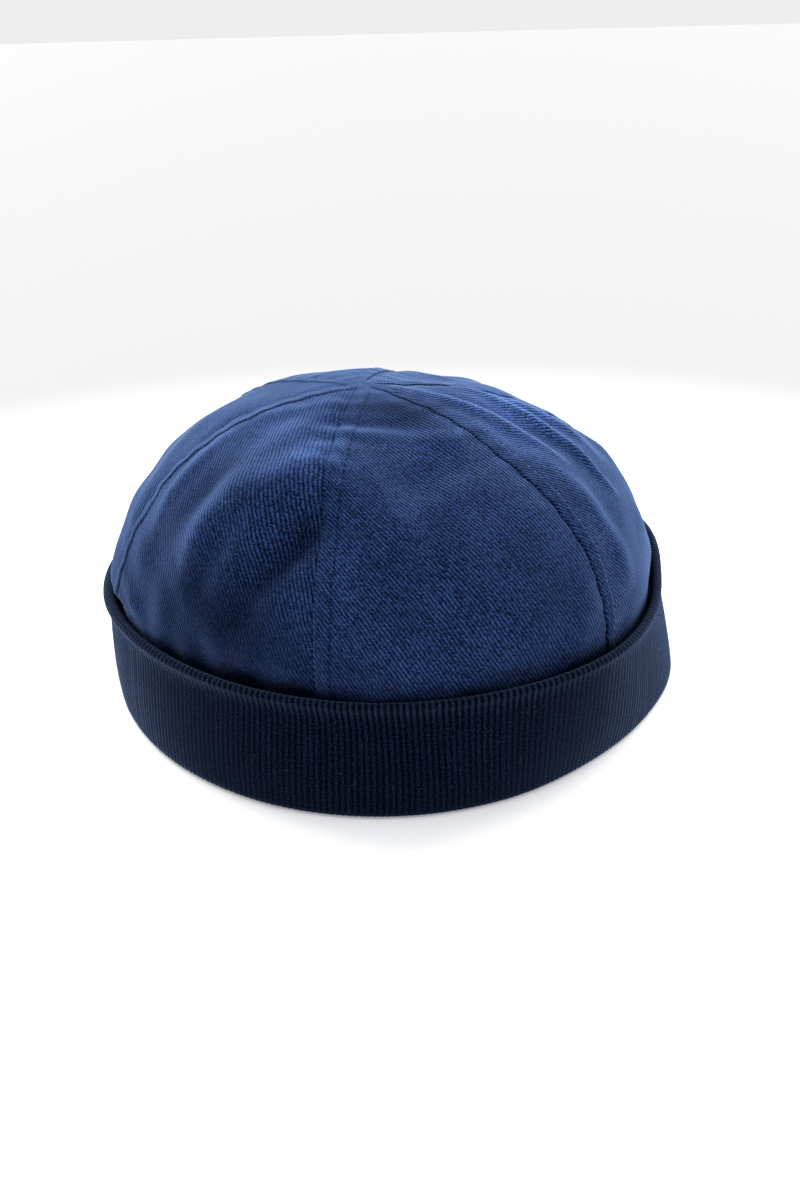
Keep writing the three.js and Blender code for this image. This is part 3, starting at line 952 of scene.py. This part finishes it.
def cuff_corners(angle):
    """Corners of the section in order round it, as (radius, height) for each angle."""
    foot, lip, rise, roll, neck = (around(column, angle) for column in range(1, 6))
    back = foot - CUFF_WALL - CUFF_SLIT
    sewn = np.full_like(foot, MERIDIAN[0, 1] + (CUFF_INSIDE - CLOTH) / 2)
    waist = lip - neck
    flat = np.zeros_like(foot)
    corners = [
        # the foot, which is round at its outer edge
        (back - CUFF_INSIDE + 2.2, flat),
        (foot - 2.6, flat),
        (foot - 0.7, flat + 0.75),
        (foot, flat + 2.8),
        # the outer leg with its slight belly
        (foot * 0.68 + waist * 0.32 + CUFF_BELLY, rise * 0.3),
        (foot * 0.34 + waist * 0.66 + CUFF_BELLY * 0.7, rise * 0.58),
        (waist, rise - 2.6 * roll - 1.4),
        # the roll of the lip
        (lip - 0.3 * neck - 0.14 * roll, rise - 1.75 * roll),
        (lip, rise - 0.95 * roll),
        (lip - 0.32 * roll, rise - 0.28 * roll),
        (lip - roll, rise),
        (lip - 1.68 * roll, rise - 0.28 * roll),
        (lip - 2 * roll, rise - roll),
        # down the slit, and up to the seam and down again on the inside
        (lip - CUFF_WALL - neck * 0.5, rise - 3 * roll),
        (foot - CUFF_WALL, flat + CUFF_FLOOR + 1.0),
        (back, flat + CUFF_FLOOR + 1.0),
        (sewn, flat + CUFF_SEAM_HEIGHT),
        (sewn - CUFF_INSIDE, flat + CUFF_SEAM_HEIGHT),
        (back - CUFF_INSIDE, flat + 2.6),
    ]
    return np.stack([np.stack(corner, -1) for corner in corners])


def cuff_rings(angle):
    """The rings of the mesh, each an array of (radius, height)."""
    corners = cuff_corners(angle)
    rings = []
    for k, count in enumerate(SPAN_STEPS):
        a, b, c, d = (corners[(k + j) % len(corners)] for j in (-1, 0, 1, 2))
        rings += [through(a, b, c, d, part / count) for part in range(count)]
    return np.stack(rings)


print("the cuff's section has", sum(SPAN_STEPS), "points")

# %% The ribs
RIB_DEPTH = 0.22
RIB_FORM = {"Roundness": 0.85, "Unevenness": 0.35, "Seed": 3.0}
RIB_MIDDLE = 0.6  # what the material reads as a rib's height where the knit is smooth


def rib_tree():
    tree, given = geometry_tree("Rib knit", Depth=RIB_DEPTH * MM, **RIB_FORM)
    rib = carried(tree, "rib")
    depth_share = carried(tree, "ribbed")
    crest = calc(tree, "COSINE", times(tree, rib, 2 * math.pi))
    profile = calc(tree, "POWER", times_plus(tree, crest, 0.5, 0.5), given["Roundness"])
    which = calc(tree, "ADD", calc(tree, "ROUND", rib), given["Seed"])
    chance = add(tree, "ShaderNodeTexWhiteNoise", {"W": which}, noise_dimensions="1D").outputs[0]
    varied = times_plus(tree, calc(tree, "SUBTRACT", chance, 0.5), given["Unevenness"], 1.0)
    depth = times(tree, given["Depth"], varied, depth_share)
    cut = times(tree, calc(tree, "SUBTRACT", profile, 1.0), depth)
    normal = step(tree, "InputNormal")
    height = calc(tree, "SUBTRACT", profile, RIB_MIDDLE)
    height = times_plus(tree, height, depth_share, RIB_MIDDLE)

    knit = given["Geometry"]
    for name, value, kind in (("rib_height", height, "FLOAT"), ("plain_normal", normal, "FLOAT_VECTOR")):
        inputs = {"Geometry": knit, "Name": name, "Value": value}
        kept = add(tree, "GeometryNodeStoreNamedAttribute", inputs, data_type=kind, domain="POINT")
        knit = kept.outputs[0]
    knit = step(tree, "SetPosition", Geometry=knit, Offset=scaled(tree, normal, cut))
    return end_tree(tree, knit, given["Material"])


print("the ribs stand", RIB_DEPTH, "mm high")

# %% Make the cuff
# how far the ribs are pushed together, wander on their way up and slip round at the lip, in ribs
RIB_CROWDING, RIB_SWAY, RIB_TWIST = 0.46, 0.16, 0.4
CROWDED_PLACES, SWAYED_PLACES = 5, 7  # round the cap
SWAY_HEIGHT = 9.0  # the sway changes by a radian in this many millimetres
TWIST_START = 0.4
LIP_REACH = 6.5  # the lip starts this far below its top,
LIP_EASE = 4.0  # over this much height
FOOT_EASE = 1.5  # and the ribs start over this much
SLIT_RIBS = 0.5  # share of their depth in the slit and inside the cap
LIP_STRETCH = 0.1  # share that is lost where the lip is stretched


def make_cuff():
    columns = RIB_COUNT * COLUMNS_PER_RIB
    angle = np.arange(columns) * TURN / columns
    section = cuff_rings(angle)
    radius, height = section[..., 0], section[..., 1]
    near_lip = np.clip((height - around(3, angle) + LIP_REACH) / LIP_EASE, 0, 1)
    near_lip = near_lip**2 * (3 - 2 * near_lip)
    sway = RIB_SWAY * np.sin(np.radians(angle * SWAYED_PLACES) + height / SWAY_HEIGHT)
    sway = sway - RIB_CROWDING * np.sin(np.radians(angle * CROWDED_PLACES))
    slip = RIB_TWIST * near_lip * np.sin(np.radians(angle) - TWIST_START)
    turn = np.radians(angle + (sway + slip) * TURN / RIB_COUNT)
    points = np.stack([radius * np.sin(turn), -radius * np.cos(turn) * OVAL, height], -1)

    # the grid closes on itself both ways, so its last ring and column are the first again
    outwards = grid_faces(len(section) + 1, columns + 1)[:, [0, 3, 2, 1]]
    ring, column = np.divmod(outwards, columns + 1)
    faces = ring % len(section) * columns + column % columns
    piece = mesh_object("rib_knit_cuff", points.reshape(-1, 3), faces.tolist())
    path = section.mean(axis=1)
    steps = np.linalg.norm(np.diff(path, axis=0, append=path[:1]), axis=1)
    walked = np.concatenate([[0], np.cumsum(steps)])
    uv_map(piece, "knit", np.stack([column / COLUMNS_PER_RIB, walked[ring]], -1))

    in_slit = (np.arange(len(section)) > sum(SPAN_STEPS[:SLIT_SPAN]))[:, None]
    depth = np.where(in_slit, SLIT_RIBS, 1.0) * np.clip(height / FOOT_EASE, 0, 1)
    lip, roll = around(2, angle), around(4, angle)
    # painted shade on the back of the lip's roll and in the slit behind it
    painted_lip_shade = np.clip((lip - 1.1 * roll - radius) / (0.7 * roll), 0, 1) * (height > 25)
    store(piece, "rib", np.broadcast_to(np.arange(columns) / COLUMNS_PER_RIB, height.shape))
    store(piece, "ribbed", depth * (1 - LIP_STRETCH * near_lip))
    store(piece, "painted_lip_shade", painted_lip_shade)
    store(piece, "lip", near_lip)
    return run_nodes(piece, rib_tree(), Material=rib_knit)


cuff = make_cuff()
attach(cuff, "root")
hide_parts("rib_cuff")
print("cuff:", RIB_COUNT, "ribs,", 2 * len(cuff.data.polygons), "triangles")

# %% [markdown]
# ## Lint
#
# Dark knit shows every pale hair that it picks up. We scatter about 700 on the outside of the
# cuff: Geometry Nodes pick the places, lay one bent hair on each, turn it at random and vary its
# length. The seed is fixed, so the same hairs come back each time.

# %% Lint on the cuff
LINT_DENSITY = 20000.0  # hairs for each square metre
LINT_LENGTH = 1.5
LINT_LENGTHS = (0.4, 1.5)  # shortest and longest hair, as shares of that length
LINT_SLIMNESS = 0.014  # half thickness of a hair, as a share of its length
LINT_TILT = 0.3  # in radians
LINT_SEED = 5
LINT_COLOUR = (0.07, 0.085, 0.12)
HAIR = {"Start": (-0.5, 0.0, 0.0), "Middle": (0.0, 0.16, 0.2), "End": (0.5, 0.0, 0.04)}
OUTER_SIDE = 0.4  # on the outer side a face's normal and its place agree at least this much


def lint_tree():
    sizes = {"Density": LINT_DENSITY, "Length": LINT_LENGTH * MM, "Slimness": LINT_SLIMNESS}
    tree, given = geometry_tree("Lint", **sizes, Seed=LINT_SEED)
    normal = step(tree, "InputNormal")
    outwards = combine(tree, "NORMALIZE", step(tree, "InputPosition"))
    outwards = combine(tree, "DOT_PRODUCT", outwards, normal, result="Value")
    scatter = add(tree, "GeometryNodeDistributePointsOnFaces", {
        "Mesh": given["Geometry"],
        "Selection": calc(tree, "GREATER_THAN", outwards, OUTER_SIDE),
        "Density": given["Density"],
        "Seed": given["Seed"],
    }).outputs
    bent = step(tree, "CurveQuadraticBezier", Resolution=5, **HAIR)
    lengths = {2: LINT_LENGTHS[0], 3: LINT_LENGTHS[1], "Seed": given["Seed"]}
    share = add(tree, "FunctionNodeRandomValue", lengths, data_type="FLOAT").outputs[1]
    hair = tube(tree, bent, 3, given["Slimness"])
    size = times(tree, share, given["Length"])
    spots, upright = scatter["Points"], scatter["Rotation"]
    hairs = step(tree, "InstanceOnPoints", Points=spots, Instance=hair, Rotation=upright, Scale=size)
    ways = {0: (-LINT_TILT, -LINT_TILT, -math.pi), 1: (LINT_TILT, LINT_TILT, math.pi)}
    way = add(tree, "FunctionNodeRandomValue", ways, data_type="FLOAT_VECTOR").outputs[0]
    return end_tree(tree, step(tree, "RotateInstances", Instances=hairs, Rotation=way), given["Material"])


lint = new_object("lint", cuff.data.copy())
run_nodes(lint, lint_tree(), Material=fibre_material("pale_lint", LINT_COLOUR, 0.9))
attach(lint, "root")
print("lint:", len(lint.data.polygons), "faces")

# %% [markdown]
# ## Floor, light and camera
#
# The cap stands on a white surface in a bright room: light comes from all round, most from above,
# so its shadow is only a soft dark rim. A wide disc is the floor, which glows faintly near the cap
# and is greyer far away. The sky is brightest overhead, and two large suns stand for windows. The
# camera stands 433 mm from the point it looks at and 25.5 degrees above the horizon.

# %% Floor
FLOOR_RADIUS = 40.0
FLOOR_NEAR, FLOOR_FAR = 0.13, 0.45  # the white turns to grey between these distances, in metres
FLOOR_WHITE = (0.97, 0.97, 0.97, 1.0)
FLOOR_GREY = (0.4, 0.4, 0.402, 1.0)
FLOOR_GLOW = 0.13  # painted light: the surface glows near the cap, which lightens the cap's shadow there


def floor_material():
    material, tree = new_material("white_surface")
    place = add(tree, "ShaderNodeTexCoord").outputs["Object"]
    away = combine(tree, "LENGTH", place, result="Value")
    far = eased(tree, away, FLOOR_NEAR, FLOOR_FAR)
    colours = {"Factor": far, 6: FLOOR_WHITE, 7: FLOOR_GREY}
    shade(tree, {
        "Base Color": add(tree, "ShaderNodeMix", colours, data_type="RGBA").outputs[2],
        "Roughness": 0.9,
        "Specular IOR Level": 0.1,
        "Emission Color": (1.0, 1.0, 1.0, 1.0),
        "Emission Strength": times(tree, calc(tree, "SUBTRACT", 1.0, far), FLOOR_GLOW),
    })
    return material


bpy.ops.mesh.primitive_circle_add(vertices=96, radius=FLOOR_RADIUS, fill_type="NGON")
floor = bpy.context.object
floor.name = "floor"
floor.data.materials.append(floor_material())
print("floor: a disc of", FLOOR_RADIUS, "m")

# %% Sky
SKY_HORIZON = 1.2
SKY_ABOVE = 1.15
BACKDROP = 0.72  # share of the sky's light in the strip just above the horizon
FRONT_SHADE = 0.9  # share of the light that comes from behind the camera and from its left
FRONT_SIDE = (-0.45, -0.89, 0.0)
SKY_COLOUR = (0.985, 0.99, 1.0, 1.0)

world = bpy.data.worlds.new("bright_room")
bpy.context.scene.world = world
world.use_nodes = True
sky = world.node_tree
towards = add(sky, "ShaderNodeTexCoord").outputs["Generated"]
up = add(sky, "ShaderNodeSeparateXYZ", {0: towards}).outputs[2]
from_front = combine(sky, "DOT_PRODUCT", towards, FRONT_SIDE, result="Value")
upwards = eased(sky, up, 0.05, 0.7, SKY_HORIZON, SKY_ABOVE)
backwards = eased(sky, from_front, -0.1, 0.8, 1.0, FRONT_SHADE)
backdrop = eased(sky, up, 0.03, 0.12, BACKDROP)
glow = times(sky, upwards, backwards, backdrop)
sky.links.new(glow, sky.nodes["Background"].inputs["Strength"])
sky.nodes["Background"].inputs["Color"].default_value = SKY_COLOUR
print("sky from", SKY_HORIZON, "at the horizon to", SKY_ABOVE, "overhead")

# %% Windows
WINDOW_SPREAD = math.radians(45)
# name, the side that the light comes from, strength
WINDOWS = [("left_window", (-0.75, 1.0, 0.7), 3.4), ("right_window", (0.7, 1.0, 0.8), 2.9)]

for name, side, strength in WINDOWS:
    light = bpy.data.lights.new(name, "SUN")
    light.angle = WINDOW_SPREAD
    light.energy = strength
    lamp = new_object(name, light)
    lamp.rotation_euler = (-Vector(side)).to_track_quat("-Z", "Y").to_euler()
print("windows:", len(WINDOWS))

# %% Camera
CAMERA_DISTANCE = 0.433
CAMERA_TILT = math.radians(25.5)
CAMERA_ROLL = math.radians(-1.5)
LOOKS_AT = Vector((0.0036, 0.0, 0.0225))
LENS = 36.1

camera_data = bpy.data.cameras.new("camera")
camera_data.lens = LENS
camera_data.sensor_width = 36.0
camera = new_object("camera", camera_data)
away = Vector((0.0, -math.cos(CAMERA_TILT), math.sin(CAMERA_TILT)))
facing = Matrix.Rotation(math.pi / 2 - CAMERA_TILT, 4, "X") @ Matrix.Rotation(CAMERA_ROLL, 4, "Z")
camera.matrix_world = Matrix.Translation(LOOKS_AT + away * CAMERA_DISTANCE) @ facing
bpy.context.scene.camera = camera
bpy.context.scene.view_settings.view_transform = "Standard"
print("camera:", CAMERA_DISTANCE, "m from", tuple(round(value, 4) for value in LOOKS_AT))
